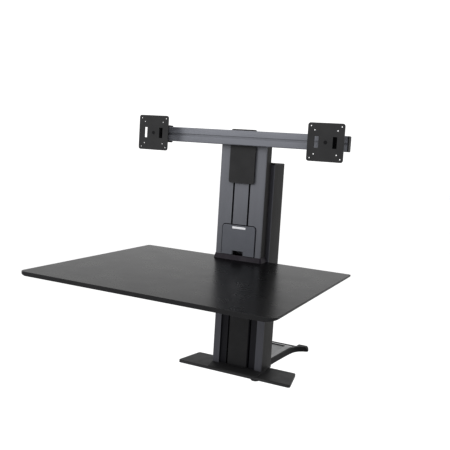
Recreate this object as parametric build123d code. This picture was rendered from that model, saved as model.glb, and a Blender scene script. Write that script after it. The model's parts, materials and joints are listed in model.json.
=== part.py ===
"""Standing desk converter: a rear-clamped mast, a lifting column that carries a
worksurface, and a display riser with a crossbar and two display plates.

Frame: millimetres, +Z up, -Y towards the user, +X to the user's right.
Origin: on the desk top, under the back edge of the worksurface, midway across.
Rest pose: worksurface 420 mm above the desk.
"""
from build123d import *
import math
import os

# --- driving dimensions ------------------------------------------------------
BOARD_WIDTH = 800.0
BOARD_DEPTH = 640.0
BOARD_THICK = 12.0
BOARD_TOP = 420.0
BOARD_FRONT_R = 20.0
BOARD_BACK_R = 9.0
EDGE_BAND = 1.5
SIDE_EDGE = 5.0      # height of the worksurface's edge at its sides
SIDE_UNDERCUT = 24.0

MAST_WIDTH = 198.0
MAST_DEPTH = 90.0
MAST_FRONT = 4.0
MAST_BOTTOM = 22.0
MAST_TOP = 760.0
MAST_WALL = 3.5

COLUMN_WIDTH = 174.0
COLUMN_DEPTH = 43.0
COLUMN_TOP = 850.0
COLUMN_WALL = 3.0

PLINTH_HEIGHT = 17.0
PLINTH_FLARE = 6.5

LIFT_DOWN = 360.0   # travel of the worksurface below its rest height
LIFT_UP = 97.0      # travel above it
RISER_DOWN = 60.0   # travel of the crossbar below its rest height
RISER_UP = 55.0     # travel above it

FOOT_FRONT_LENGTH = 450.0
FOOT_BACK_LENGTH = 402.0
FOOT_FRONT_Y = -30.0
FOOT_BACK_Y = 87.0
FOOT_PAD = 2.0
FOOT_TOP = 12.0
FOOT_CORNER_R = 8.0

ARM_BACK_Y = 352.0
ARM_EAR_X = 156.0   # half width across the two ears at the arm's back
ARM_TOP = 34.0
ARM_FLOOR = 6.0
ARM_RIM = 7.0

BAR_LENGTH = 750.0
BAR_DEPTH = 26.0
BAR_HEIGHT = 50.0
BAR_CENTER_Z = 845.0
BAR_BACK_Y = -52.0
DISPLAY_X = 318.0

DESK_THICK = 25.0

RUN_GAP = 0.05      # radial clearance of a shaft in its bore
SLIDE_GAP = 0.3     # clearance between faces that slide past each other

# --- worked-out places -------------------------------------------------------
BOARD_BOTTOM = BOARD_TOP - BOARD_THICK
MAST_BACK = MAST_FRONT + MAST_DEPTH
MAST_MID_Y = MAST_FRONT + MAST_DEPTH / 2 + 3.0
COLUMN_FRONT = -COLUMN_DEPTH
COLUMN_BOTTOM = BOARD_TOP + PLINTH_HEIGHT
BAR_FRONT_Y = BAR_BACK_Y - BAR_DEPTH

# mast section: strips at the corners, recessed channels, two slots, centre web
STRIP_INNER = 72.0
CHANNEL_FLOOR = MAST_FRONT + 7.0
CHAMBER_FRONT = CHANNEL_FLOOR + MAST_WALL
CHAMBER_BACK = MAST_BACK - MAST_WALL
CHAMBER_SIDE = MAST_WIDTH / 2 - MAST_WALL
SLOT_INNER = 40.0
SLOT_OUTER = 46.0
WEB_INNER = 36.0
WEB_FRONT = MAST_FRONT + 5.0

# column section: two front slots and a closed centre chamber
COLUMN_SLOT_INNER = 27.0
COLUMN_SLOT_OUTER = 33.0
COLUMN_WEB_INNER = 23.5

# lift drive
WHEEL_R = 17.0
WHEEL_INNER = 50.0
WHEEL_OUTER = 64.0
WHEEL_FRONT_Y = CHAMBER_FRONT + WHEEL_R + SLIDE_GAP
WHEEL_BACK_Y = CHAMBER_BACK - WHEEL_R - SLIDE_GAP
AXLE_R = 4.0
TRUCK_BOTTOM = MAST_BOTTOM + LIFT_DOWN + 58.0
TRUCK_TOP = MAST_TOP - LIFT_UP - 8.0
WHEEL_UPPER_Z = TRUCK_TOP - 19.0
WHEEL_LOWER_Z = TRUCK_BOTTOM + 22.0
TRUCK_INNER = 41.3
TRUCK_OUTER = 44.7
PULLEY_R = 12.0
PULLEY_LOWER_Z = 60.0
PULLEY_UPPER_Z = 735.0
BELT_INNER = 76.0
BELT_OUTER = 84.0
BELT_THICK = 1.6
BELT_GAP = 0.1
SHAFT_R = 5.0
BUSH_R = 8.0
SPRING_R = 27.0
TENSION_Y = 28.0
TENSION_R = 4.0
TENSION_BOX_TOP = 90.0
TENSION_ROD_BOTTOM = 80.0

# crossbar section
BAR_WALL = 2.5
BAR_GROOVE_HALF = 4.0
BAR_GROOVE_DEPTH = 5.0
BAR_LOW = BAR_CENTER_Z - BAR_HEIGHT / 2
BAR_HIGH = BAR_CENTER_Z + BAR_HEIGHT / 2

# display joints
PAN_Y = -93.0
TILT_Y = -110.0
PLATE_FRONT_Y = -126.0
PLATE_THICK = 2.5
PLATE_SIDE = 120.0

# clamp
CLAMP_X = 34.0
CLAMP_BACK_Y = 242.0
CLAMP_FRONT_Y = 144.0
CLAMP_STEEL = 6.0
CLAMP_BOTTOM = -59.0
CLAMP_BOSS = 8.0
CLAMP_BOSS_R = 11.0
SCREW_Y = 184.0
SCREW_R = 5.0


# --- helpers -----------------------------------------------------------------
def block(x0, x1, y0, y1, z0, z1):
    """A box between two corners."""
    centre = Pos((x0 + x1) / 2, (y0 + y1) / 2, (z0 + z1) / 2)
    return centre * Box(abs(x1 - x0), abs(y1 - y0), abs(z1 - z0))


def rod_x(x0, x1, y, z, r):
    """A cylinder along X."""
    return Pos((x0 + x1) / 2, y, z) * Rot(0, 90, 0) * Cylinder(r, abs(x1 - x0))


def rod_y(x, y0, y1, z, r):
    """A cylinder along Y."""
    return Pos(x, (y0 + y1) / 2, z) * Rot(90, 0, 0) * Cylinder(r, abs(y1 - y0))


def rod_z(x, y, z0, z1, r):
    """A cylinder along Z."""
    return Pos(x, y, (z0 + z1) / 2) * Cylinder(r, abs(z1 - z0))


def prism(outline, z0, z1):
    """An upright prism over a plan face."""
    return extrude(Plane.XY.offset(z0) * outline, z1 - z0)


def plan(points, corner_r, z0, z1):
    """An upright prism over a plan outline with rounded corners."""
    outline = fillet(make_face(Polyline(*points, close=True)).vertices(), corner_r)
    return prism(outline, z0, z1)


def rectangle(x0, x1, y0, y1):
    """The four corners of a plan rectangle."""
    return [(x0, y0), (x1, y0), (x1, y1), (x0, y1)]


def mirrored(part):
    """The same piece on the other side of the centre plane."""
    return mirror(part, about=Plane.YZ)


def both(part):
    """A piece and its mirror image."""
    return [part, mirrored(part)]


def cut(part, tools):
    """A piece with several tools taken out of it."""
    for tool in tools:
        part = part - tool
    return part


def save(name, pieces):
    """Writes one node from one solid or a list of separate solids."""
    if not isinstance(pieces, list):
        pieces = [pieces]
    solids = [solid for piece in pieces for solid in piece.solids()]
    shape = solids[0] if len(solids) == 1 else Compound(children=solids)
    export_step(shape, f"parts/{name}.step")


# --- foot and base -----------------------------------------------------------
BASE_BOLTS = [(x, y) for x in (-75.0, 75.0) for y in (-8.0, 76.0)]
BASE_BOLT_R = 4.0
BASE_BOLT_TOP = 16.0
BASE_BOLT_SEAT = 6.0
BASE_BOLT_HEAD_R = 7.0


def foot_outline(inset):
    """Trapezoid of the foot: the front edge is the long one."""
    front = FOOT_FRONT_LENGTH / 2 - inset
    back = FOOT_BACK_LENGTH / 2 - inset
    y0 = FOOT_FRONT_Y + inset
    y1 = FOOT_BACK_Y - inset
    return [(-front, y0), (front, y0), (back, y1), (-back, y1)]


def foot_bar():
    bar = plan(foot_outline(0), FOOT_CORNER_R, FOOT_PAD, FOOT_TOP)
    bar = chamfer(bar.edges().group_by(Axis.Z)[-1], 1.5)
    for x, y in BASE_BOLTS:
        bar -= rod_z(x, y, FOOT_PAD, FOOT_TOP, BASE_BOLT_R)
        bar -= rod_z(x, y, FOOT_PAD, BASE_BOLT_SEAT, BASE_BOLT_HEAD_R)
    return bar


def foot_pad():
    return plan(foot_outline(5.0), FOOT_CORNER_R - 4, 0, FOOT_PAD)


def base_casting():
    """Seat of the mast, with a sloped apron in front of it."""
    half = MAST_WIDTH / 2
    apron_lip = 1.5
    profile = Polyline(
        (FOOT_FRONT_Y + 3, FOOT_TOP),
        (MAST_BACK, FOOT_TOP),
        (MAST_BACK, MAST_BOTTOM),
        (MAST_FRONT - 2, MAST_BOTTOM),
        (FOOT_FRONT_Y + 3, FOOT_TOP + apron_lip),
        close=True,
    )
    casting = extrude(Plane.YZ.offset(-half) * make_face(profile), 2 * half)
    for x, y in BASE_BOLTS:
        casting -= rod_z(x, y, FOOT_TOP, BASE_BOLT_TOP, BASE_BOLT_R)
    return casting


def base_bolts():
    return [
        rod_z(x, y, BASE_BOLT_SEAT, BASE_BOLT_TOP, BASE_BOLT_R)
        + rod_z(x, y, FOOT_PAD, BASE_BOLT_SEAT, BASE_BOLT_HEAD_R)
        for x, y in BASE_BOLTS
    ]


# --- rear arm and its inlay --------------------------------------------------
ARM_BOLT_X = 60.0
ARM_BOLT_Z = 27.5
ARM_BOLT_R = 3.0
ARM_BOLT_HEAD_R = 5.0
ARM_BOLT_HEAD = 5.0
ARM_WALL_BACK = MAST_BACK + 10.0
ARM_FRONT_HALF = 90.0
ARM_WAIST = [(96.0, 180.0), (105.0, 262.0), (122.0, 312.0)]
ARM_EAR_FRONT_Y = 334.0
ARM_EAR_R = 8.0
ARM_EDGE_R = 22.0
ARM_SLOPE_Y = 282.0
ARM_BACK_DROP = 13.0
ARM_EAR_DROP = 4.0
ARM_EAR_INNER = 112.0
INLAY_BACK_HALF = 103.0
INLAY_BACK_Y = 338.0
INLAY_CORNER_R = 24.0
INLAY_THICK = 5.0
INLAY_GAP = 0.8
INLAY_TOP = ARM_TOP - 1.5
LAND_SIDE = 12.0
LAND_BACK = 26.0
LAND_CORNER_R = 16.0
CLAMP_BOLTS = [(x, y) for x in (-24.0, 24.0) for y in (164.0, 212.0)]
CLAMP_BOLT_R = 4.0
ADJUST_SLOT_Y = (134.0, 242.0)
HEAD_ROOM_Y = ARM_WALL_BACK + ARM_BOLT_HEAD + 2.0


def arm_outline():
    """Plan of the rear arm: its sides sweep outwards into an ear at each back corner."""
    front = (ARM_FRONT_HALF, MAST_BACK)
    ear = (ARM_EAR_X, ARM_EAR_FRONT_Y)
    side = Spline(front, *ARM_WAIST, ear, tangents=((0, 1), (1, 0.25)))
    end = Polyline(ear, (ARM_EAR_X, ARM_BACK_Y), (0, ARM_BACK_Y), (0, MAST_BACK), front)
    half = make_face(Wire([side, *end.edges()]))
    corner = half.vertices().sort_by(Axis.X)[-2:]
    half = fillet(corner, ARM_EAR_R)
    return half + mirrored(half)


def inlay_outline(inset):
    """Plan of the pocket, the liner and the liner's own recess: a trapezoid with round back corners."""
    front = ARM_FRONT_HALF - ARM_RIM - inset
    back = INLAY_BACK_HALF - inset
    y0 = ARM_WALL_BACK
    y1 = INLAY_BACK_Y - inset
    outline = make_face(Polyline((-front, y0), (front, y0), (back, y1), (-back, y1), close=True))
    rear = outline.vertices().group_by(Axis.Y)[-1]
    return fillet(rear, INLAY_CORNER_R - inset)


def arm_slope(top, drop, half_width):
    """What a slope from a flat top down to the arm's back leaves out."""
    profile = Polyline(
        (ARM_SLOPE_Y, top), (ARM_BACK_Y, top - drop), (ARM_BACK_Y, 2 * top),
        (ARM_SLOPE_Y, 2 * top), close=True,
    )
    return extrude(Plane.YZ * make_face(profile), half_width, both=True)


def rear_arm():
    """Cast tray: a floor with a rim, and ears that round down at the back corners."""
    floor_top = FOOT_TOP + ARM_FLOOR
    tray = prism(arm_outline(), FOOT_TOP, ARM_TOP)
    envelope = block(-ARM_EAR_X, ARM_EAR_X, 0, ARM_BACK_Y, -ARM_EDGE_R, ARM_TOP)
    long_edges = envelope.edges().filter_by(Axis.Y).group_by(Axis.Z)[-1]
    tray = tray & fillet(long_edges, ARM_EDGE_R)
    tray -= arm_slope(ARM_TOP, ARM_EAR_DROP, ARM_EAR_X)
    tray -= arm_slope(ARM_TOP, ARM_BACK_DROP, ARM_EAR_INNER)
    tray -= prism(inlay_outline(0), floor_top, ARM_TOP)
    for x, y in CLAMP_BOLTS:
        tray -= rod_z(x, y, FOOT_TOP, floor_top, CLAMP_BOLT_R)
    return cut(tray, both(rod_y(ARM_BOLT_X, MAST_BACK, ARM_WALL_BACK, ARM_BOLT_Z, ARM_BOLT_R)))


def arm_inlay():
    """Grey liner: a raised land round a recess, with slots for setting the clamp's depth."""
    floor_top = FOOT_TOP + ARM_FLOOR
    recess_floor = floor_top + INLAY_THICK
    liner = prism(inlay_outline(INLAY_GAP), floor_top, INLAY_TOP)
    liner -= arm_slope(INLAY_TOP, ARM_BACK_DROP, ARM_EAR_INNER)
    side = ARM_FRONT_HALF - ARM_RIM - LAND_SIDE
    recess = rectangle(-side, side, 0, INLAY_BACK_Y - LAND_BACK)
    liner -= plan(recess, LAND_CORNER_R, recess_floor, INLAY_TOP)
    liner -= block(-MAST_WIDTH, MAST_WIDTH, 0, HEAD_ROOM_Y, floor_top, INLAY_TOP)
    y0, y1 = ADJUST_SLOT_Y
    for x in (-24.0, 24.0):
        slot = rectangle(x - CLAMP_BOLT_R, x + CLAMP_BOLT_R, y0, y1)
        liner -= plan(slot, CLAMP_BOLT_R - 0.1, floor_top, recess_floor)
    return liner


def arm_bolts():
    """Bolts through the arm's front wall and the mast's back wall, with nuts inside."""
    bolt = rod_y(ARM_BOLT_X, CHAMBER_BACK - ARM_BOLT_HEAD, ARM_WALL_BACK, ARM_BOLT_Z, ARM_BOLT_R)
    bolt += rod_y(ARM_BOLT_X, ARM_WALL_BACK, ARM_WALL_BACK + ARM_BOLT_HEAD, ARM_BOLT_Z, ARM_BOLT_HEAD_R)
    bolt += rod_y(ARM_BOLT_X, CHAMBER_BACK - ARM_BOLT_HEAD, CHAMBER_BACK, ARM_BOLT_Z, ARM_BOLT_HEAD_R)
    return both(bolt)


# --- desk clamp --------------------------------------------------------------
def clamp_bracket():
    """C-shaped bracket that goes behind and under the desk's edge."""
    top = FOOT_TOP
    profile = Polyline(
        (CLAMP_FRONT_Y, top),
        (CLAMP_BACK_Y, top),
        (CLAMP_BACK_Y, CLAMP_BOTTOM),
        (CLAMP_FRONT_Y + 10, CLAMP_BOTTOM),
        (CLAMP_FRONT_Y + 10, CLAMP_BOTTOM + CLAMP_STEEL),
        (CLAMP_BACK_Y - CLAMP_STEEL, CLAMP_BOTTOM + CLAMP_STEEL),
        (CLAMP_BACK_Y - CLAMP_STEEL, top - CLAMP_STEEL),
        (CLAMP_FRONT_Y, top - CLAMP_STEEL),
        close=True,
    )
    bracket = extrude(Plane.YZ.offset(-CLAMP_X) * make_face(profile), 2 * CLAMP_X)
    bracket += rod_z(0, SCREW_Y, CLAMP_BOTTOM, CLAMP_BOTTOM + CLAMP_BOSS, CLAMP_BOSS_R)
    bracket -= rod_z(0, SCREW_Y, CLAMP_BOTTOM, CLAMP_BOTTOM + CLAMP_BOSS, SCREW_R + RUN_GAP)
    for x, y in CLAMP_BOLTS:
        bracket -= rod_z(x, y, top - CLAMP_STEEL, top, CLAMP_BOLT_R)
    return bracket


def clamp_bolts():
    head_seat = FOOT_TOP + ARM_FLOOR + INLAY_THICK
    return [
        rod_z(x, y, FOOT_TOP - CLAMP_STEEL, head_seat, CLAMP_BOLT_R)
        + rod_z(x, y, head_seat, head_seat + 5, 6.5)
        for x, y in CLAMP_BOLTS
    ]


def clamp_top_pad():
    return plan(
        rectangle(-CLAMP_X + 3, CLAMP_X - 3, CLAMP_FRONT_Y, CLAMP_BACK_Y - CLAMP_STEEL - 3),
        4.0, 0, FOOT_TOP - CLAMP_STEEL,
    )


JAW_R = 19.0
JAW_THICK = 8.0
JAW_PAD_THICK = 1.5
JAW_TOP = -DESK_THICK - JAW_PAD_THICK
SOCKET_TOP = JAW_TOP - 3.0
KNOB_TOP = -75.0
KNOB_HEIGHT = 15.0
KNOB_R = 19.0


def clamp_jaw():
    """Round pressure plate on the screw's end, with a blind socket below."""
    jaw = rod_z(0, SCREW_Y, JAW_TOP - JAW_THICK, JAW_TOP, JAW_R)
    jaw = chamfer(jaw.edges().group_by(Axis.Z)[0], 2.0)
    return jaw - rod_z(0, SCREW_Y, JAW_TOP - JAW_THICK, SOCKET_TOP, SCREW_R + RUN_GAP)


def clamp_jaw_pad():
    return rod_z(0, SCREW_Y, JAW_TOP, -DESK_THICK, JAW_R - 1)


def clamp_screw():
    screw = rod_z(0, SCREW_Y, KNOB_TOP, SOCKET_TOP - SLIDE_GAP, SCREW_R)
    return chamfer(screw.edges().group_by(Axis.Z)[-1], 0.8)


def clamp_knob():
    """Hand knob with eight lobes."""
    knob = rod_z(0, SCREW_Y, KNOB_TOP - KNOB_HEIGHT, KNOB_TOP, KNOB_R)
    knob = chamfer(knob.edges(), 2.0)
    lobes = 8
    for i in range(lobes):
        turn = 2 * math.pi * (i + 0.5) / lobes
        x = (KNOB_R + 2) * math.cos(turn)
        y = (KNOB_R + 2) * math.sin(turn)
        knob -= rod_z(x, SCREW_Y + y, KNOB_TOP - KNOB_HEIGHT, KNOB_TOP, 5.0)
    return knob


# --- mast --------------------------------------------------------------------
def mast():
    """Extrusion: two side chambers for the trucks and a centre chamber."""
    half = MAST_WIDTH / 2
    body = plan(rectangle(-half, half, MAST_FRONT, MAST_BACK), 4.0, MAST_BOTTOM, MAST_TOP)
    z0, z1 = MAST_BOTTOM, MAST_TOP
    side_tools = [
        block(SLOT_INNER, STRIP_INNER, MAST_FRONT - 1, CHANNEL_FLOOR, z0, z1),
        block(SLOT_INNER, SLOT_OUTER, MAST_FRONT - 1, CHAMBER_FRONT, z0, z1),
        block(SLOT_INNER, CHAMBER_SIDE, CHAMBER_FRONT, CHAMBER_BACK, z0, z1),
        block(STRIP_INNER + MAST_WALL, CHAMBER_SIDE, MAST_FRONT + MAST_WALL, CHAMBER_BACK, z0, z1),
    ]
    for tool in side_tools:
        body = cut(body, both(tool))
    body -= block(-SLOT_INNER - 1, SLOT_INNER + 1, MAST_FRONT - 1, WEB_FRONT, z0, z1)
    body -= block(-WEB_INNER, WEB_INNER, WEB_FRONT + MAST_WALL, CHAMBER_BACK, z0, z1)
    body = cut(body, both(rod_y(ARM_BOLT_X, CHAMBER_BACK, MAST_BACK, ARM_BOLT_Z, ARM_BOLT_R)))
    return cut(body, both(rod_x(WEB_INNER, SLOT_INNER, MAST_MID_Y, PULLEY_LOWER_Z, BUSH_R)))


def mast_center_panel():
    half = SLOT_INNER - 1.5
    panel = block(-half, half, WEB_FRONT - 3, WEB_FRONT, MAST_BOTTOM + 2, MAST_TOP - 2)
    return chamfer(panel.edges().filter_by(Axis.Z).group_by(Axis.Y)[0], 1.0)


def mast_cap():
    half = MAST_WIDTH / 2
    cap = plan(rectangle(-half, half, MAST_FRONT, MAST_BACK), 4.0, MAST_TOP, MAST_TOP + 6)
    cap = chamfer(cap.edges().group_by(Axis.Z)[-1], 1.5)
    return cap - rod_z(0, TENSION_Y, MAST_TOP, MAST_TOP + 6, TENSION_R + RUN_GAP)


def spring_barrel():
    """Housing of the wound counterbalance spring, round the lower shaft."""
    half = 28.0
    outer_r = 30.0
    housing = rod_x(-half, half, MAST_MID_Y, PULLEY_LOWER_Z, outer_r)
    housing += block(-20, 20, MAST_MID_Y - 14, MAST_MID_Y + 14, MAST_BOTTOM, PULLEY_LOWER_Z)
    housing += block(-12, 12, TENSION_Y - 9, MAST_MID_Y, PULLEY_LOWER_Z, TENSION_BOX_TOP)
    housing -= rod_x(-half + 3, half - 3, MAST_MID_Y, PULLEY_LOWER_Z, SPRING_R)
    housing -= rod_x(-half, half, MAST_MID_Y, PULLEY_LOWER_Z, SHAFT_R + RUN_GAP)
    socket_bottom = TENSION_ROD_BOTTOM - SLIDE_GAP
    return housing - rod_z(0, TENSION_Y, socket_bottom, TENSION_BOX_TOP, TENSION_R + RUN_GAP)


def mainspring():
    """The strip spring as its wound pack, a ring round the shaft."""
    pack = rod_x(-22, 22, MAST_MID_Y, PULLEY_LOWER_Z, SPRING_R - 1)
    return pack - rod_x(-22, 22, MAST_MID_Y, PULLEY_LOWER_Z, 12.0)


def tension_rod():
    """Hex-socket rod from the mast cap down to the spring barrel."""
    rod = rod_z(0, TENSION_Y, TENSION_ROD_BOTTOM, MAST_TOP + 7, TENSION_R)
    head = rod_z(0, TENSION_Y, MAST_TOP + 6.3, MAST_TOP + 12, 8.0)
    head = chamfer(head.edges().group_by(Axis.Z)[-1], 1.0)
    socket = Pos(0, TENSION_Y, MAST_TOP + 8) * extrude(RegularPolygon(3.0, 6), 6)
    return rod + head - socket


def shaft_bushes():
    ring = rod_x(WEB_INNER, SLOT_INNER, MAST_MID_Y, PULLEY_LOWER_Z, BUSH_R)
    ring -= rod_x(WEB_INNER, SLOT_INNER, MAST_MID_Y, PULLEY_LOWER_Z, SHAFT_R + RUN_GAP)
    return both(ring)


def lower_shaft():
    return rod_x(-CHAMBER_SIDE + 1.5, CHAMBER_SIDE - 1.5, MAST_MID_Y, PULLEY_LOWER_Z, SHAFT_R)


def pulley(z, bore_r):
    """Flanged belt pulley on the +X side."""
    wheel = rod_x(BELT_INNER - 0.5, BELT_OUTER + 0.5, MAST_MID_Y, z, PULLEY_R)
    for x in (BELT_INNER - 2.5, BELT_OUTER + 0.5):
        wheel += rod_x(x, x + 2, MAST_MID_Y, z, PULLEY_R + 3)
    return wheel - rod_x(BELT_INNER - 3, BELT_OUTER + 3, MAST_MID_Y, z, bore_r)


def pulley_stub():
    """Pin on the mast's side wall that carries an upper pulley."""
    return rod_x(BELT_INNER - 3.5, CHAMBER_SIDE, MAST_MID_Y, PULLEY_UPPER_Z, SHAFT_R)


def belt_loop(r):
    """A solid slab with round ends, r from the line between the pulleys."""
    front = MAST_MID_Y - r
    back = MAST_MID_Y + r
    slab = block(BELT_INNER, BELT_OUTER, front, back, PULLEY_LOWER_Z, PULLEY_UPPER_Z)
    for z in (PULLEY_LOWER_Z, PULLEY_UPPER_Z):
        slab += rod_x(BELT_INNER, BELT_OUTER, MAST_MID_Y, z, r)
    return slab


def belt():
    """Closed flat belt round the two pulleys of the +X side."""
    inner_r = PULLEY_R + BELT_GAP
    return belt_loop(inner_r + BELT_THICK) - belt_loop(inner_r)


# --- trucks and wheels -------------------------------------------------------
TRUCK_BOLTS = [(58.0, z) for z in (456.0, 548.0, 640.0)]
TRUCK_BOLT_R = 2.5
TRUCK_FLANGE = 3.5
TRUCK_FLANGE_EDGE = 70.0


def truck():
    """Steel angle: its web passes through the mast's slot, its flange bolts to the column."""
    web = block(TRUCK_INNER, TRUCK_OUTER, 0, CHAMBER_BACK - 5, TRUCK_BOTTOM, TRUCK_TOP)
    flange = block(TRUCK_INNER, TRUCK_FLANGE_EDGE, 0, TRUCK_FLANGE, TRUCK_BOTTOM, TRUCK_TOP)
    angle = web + flange
    for x, z in TRUCK_BOLTS:
        angle -= rod_y(x, 0, TRUCK_FLANGE, z, TRUCK_BOLT_R)
    return angle


def truck_bolts():
    bolts = []
    for x, z in TRUCK_BOLTS:
        shank = rod_y(x, -COLUMN_WALL, TRUCK_FLANGE, z, TRUCK_BOLT_R)
        head = rod_y(x, TRUCK_FLANGE, TRUCK_FLANGE + 3, z, 4.5)
        bolts += both(shank + head)
    return bolts


def wheel_axle(y, z):
    """Stepped stub axle: collar, journal and end flange."""
    axle = rod_x(TRUCK_OUTER, WHEEL_INNER - 0.3, y, z, 6.0)
    axle += rod_x(TRUCK_OUTER, WHEEL_OUTER + 2, y, z, AXLE_R)
    return axle + rod_x(WHEEL_OUTER + 0.3, WHEEL_OUTER + 2, y, z, 6.0)


def wheel_axles():
    upper = wheel_axle(WHEEL_FRONT_Y, WHEEL_UPPER_Z)
    lower = wheel_axle(WHEEL_BACK_Y, WHEEL_LOWER_Z)
    return both(upper) + both(lower)


def guide_wheel(y, z):
    """Acetal roller with a bore, recessed on both faces."""
    wheel = rod_x(WHEEL_INNER, WHEEL_OUTER, y, z, WHEEL_R)
    wheel = chamfer(wheel.edges(), 0.8)
    depth = 3.0
    recess = rod_x(WHEEL_INNER, WHEEL_INNER + depth, y, z, 13.0)
    recess -= rod_x(WHEEL_INNER, WHEEL_INNER + depth, y, z, 7.5)
    far = Pos(WHEEL_OUTER - WHEEL_INNER - depth, 0, 0) * recess
    return cut(wheel, [recess, far, rod_x(WHEEL_INNER, WHEEL_OUTER, y, z, AXLE_R + RUN_GAP)])


def belt_clamp():
    """Block on the truck that grips the belt's front run."""
    z0, z1 = 540.0, 560.0
    run_back = MAST_MID_Y - PULLEY_R - BELT_GAP
    run_front = run_back - BELT_THICK
    clamp = block(TRUCK_OUTER, BELT_OUTER + 3, run_front - 6, run_back + 5, z0, z1)
    return clamp - block(
        BELT_INNER - SLIDE_GAP, BELT_OUTER + SLIDE_GAP,
        run_front - SLIDE_GAP, run_back + SLIDE_GAP, z0, z1,
    )


# --- lifting column ----------------------------------------------------------
CABLE_WINDOW = 19.0
CABLE_WINDOW_HEIGHT = 18.0
REVEAL = 3.0        # width of the groove round the cable cover
REVEAL_DEPTH = 1.4


def cover_outline(margin):
    """The cable cover's front outline, or one a margin larger."""
    half = COVER_HALF + margin
    top = COVER_TOP + margin
    outline = make_face(
        Polyline((-half, COVER_BOTTOM), (half, COVER_BOTTOM), (half, top), (-half, top), close=True)
    )
    return fillet(outline.vertices().group_by(Axis.Y)[-1], COVER_CORNER_R + margin)


def cover_reveal():
    """Groove in the column's front face that frames the cable cover."""
    frame = cover_outline(REVEAL) - cover_outline(0)
    return extrude(Plane.XZ.offset(-COLUMN_FRONT) * frame, -REVEAL_DEPTH)


def lift_column():
    """Extrusion with two front slots for the display riser."""
    half = COLUMN_WIDTH / 2
    z0, z1 = COLUMN_BOTTOM, COLUMN_TOP
    body = plan(rectangle(-half, half, COLUMN_FRONT, 0), 3.0, z0, z1)
    inner_front = COLUMN_FRONT + COLUMN_WALL
    chamber = block(COLUMN_SLOT_INNER, half - COLUMN_WALL, inner_front, -COLUMN_WALL, z0, z1)
    slot = block(COLUMN_SLOT_INNER, COLUMN_SLOT_OUTER, COLUMN_FRONT - 1, inner_front, z0, z1)
    body = cut(body, both(chamber) + both(slot))
    body -= block(-COLUMN_WEB_INNER, COLUMN_WEB_INNER, inner_front, -COLUMN_WALL, z0, z1)
    window_top = z0 + CABLE_WINDOW_HEIGHT
    body -= block(-CABLE_WINDOW, CABLE_WINDOW, COLUMN_FRONT - 1, inner_front, z0, window_top)
    body -= cover_reveal()
    for x, z in TRUCK_BOLTS:
        body = cut(body, both(rod_y(x, -COLUMN_WALL, 0, z, TRUCK_BOLT_R)))
    return body


def column_cap():
    half = COLUMN_WIDTH / 2
    cap = plan(rectangle(-half, half, COLUMN_FRONT, 0), 3.0, COLUMN_TOP, COLUMN_TOP + 5)
    return chamfer(cap.edges().group_by(Axis.Z)[-1], 1.2)


COLUMN_BOLTS = [(x, y) for x in (-66.0, 66.0) for y in (-34.0, -13.0)]
COLUMN_BOLT_R = 3.0
COLUMN_BOLT_TOP = BOARD_TOP + 13.0


def column_foot():
    """Flared plinth between the column and the worksurface, open for cables."""
    half = COLUMN_WIDTH / 2 + PLINTH_FLARE
    depth = COLUMN_DEPTH + PLINTH_FLARE
    taper = math.degrees(math.atan2(PLINTH_FLARE - 1, PLINTH_HEIGHT))
    outline = fillet(Rectangle(2 * half, 2 * depth).vertices(), 9.0)
    plinth = extrude(Plane.XY.offset(BOARD_TOP) * outline, PLINTH_HEIGHT, taper=taper)
    plinth -= block(-2 * half, 2 * half, 0, 2 * depth, BOARD_TOP - 1, BOARD_TOP + PLINTH_HEIGHT + 1)
    plinth -= block(-CABLE_WINDOW, CABLE_WINDOW, -38, -6, BOARD_TOP, BOARD_TOP + PLINTH_HEIGHT)
    for x, y in COLUMN_BOLTS:
        plinth -= rod_z(x, y, BOARD_TOP, COLUMN_BOLT_TOP, COLUMN_BOLT_R)
    return plinth


# --- worksurface -------------------------------------------------------------
SUPPORT_INNER = 52.0
SUPPORT_OUTER = 88.0
SUPPORT_DEPTH = 16.0
SUPPORT_STEEL = 3.0
SUPPORT_FRONT_Y = -440.0
SUPPORT_BACK_Y = -5.0
BOARD_SCREWS = [(70.0, y) for y in (-120.0, -220.0, -320.0, -420.0)]
BOARD_SCREW_R = 2.2
BOARD_SCREW_BITE = 9.0


def side_undercut():
    """What the sloped underside along the board's +X side leaves out."""
    half = BOARD_WIDTH / 2
    profile = Polyline(
        (half - SIDE_UNDERCUT, BOARD_BOTTOM), (half, BOARD_TOP - SIDE_EDGE),
        (half + SIDE_UNDERCUT, BOARD_TOP - SIDE_EDGE), (half + SIDE_UNDERCUT, 0), (half - SIDE_UNDERCUT, 0),
        close=True,
    )
    return extrude(Plane.XZ * make_face(profile), BOARD_DEPTH + 1, both=True)


def board_blank(inset):
    """The board, its back corners tighter than its front ones and its sides thin below."""
    half = BOARD_WIDTH / 2 - inset
    outline = make_face(Polyline(*rectangle(-half, half, -BOARD_DEPTH + inset, -inset), close=True))
    front = outline.vertices().group_by(Axis.Y)[0]
    outline = fillet(front, BOARD_FRONT_R - inset)
    back = outline.vertices().group_by(Axis.Y)[-1]
    outline = fillet(back, BOARD_BACK_R - inset)
    return cut(prism(outline, BOARD_BOTTOM, BOARD_TOP), both(side_undercut()))


def worksurface():
    core = board_blank(EDGE_BAND)
    for x, y in COLUMN_BOLTS:
        core -= rod_z(x, y, BOARD_BOTTOM, BOARD_TOP, COLUMN_BOLT_R)
    for x, y in BOARD_SCREWS:
        hole = rod_z(x, y, BOARD_BOTTOM, BOARD_BOTTOM + BOARD_SCREW_BITE, BOARD_SCREW_R)
        core = cut(core, both(hole))
    return core


def worksurface_edge_band():
    return board_blank(0) - board_blank(EDGE_BAND)


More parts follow.
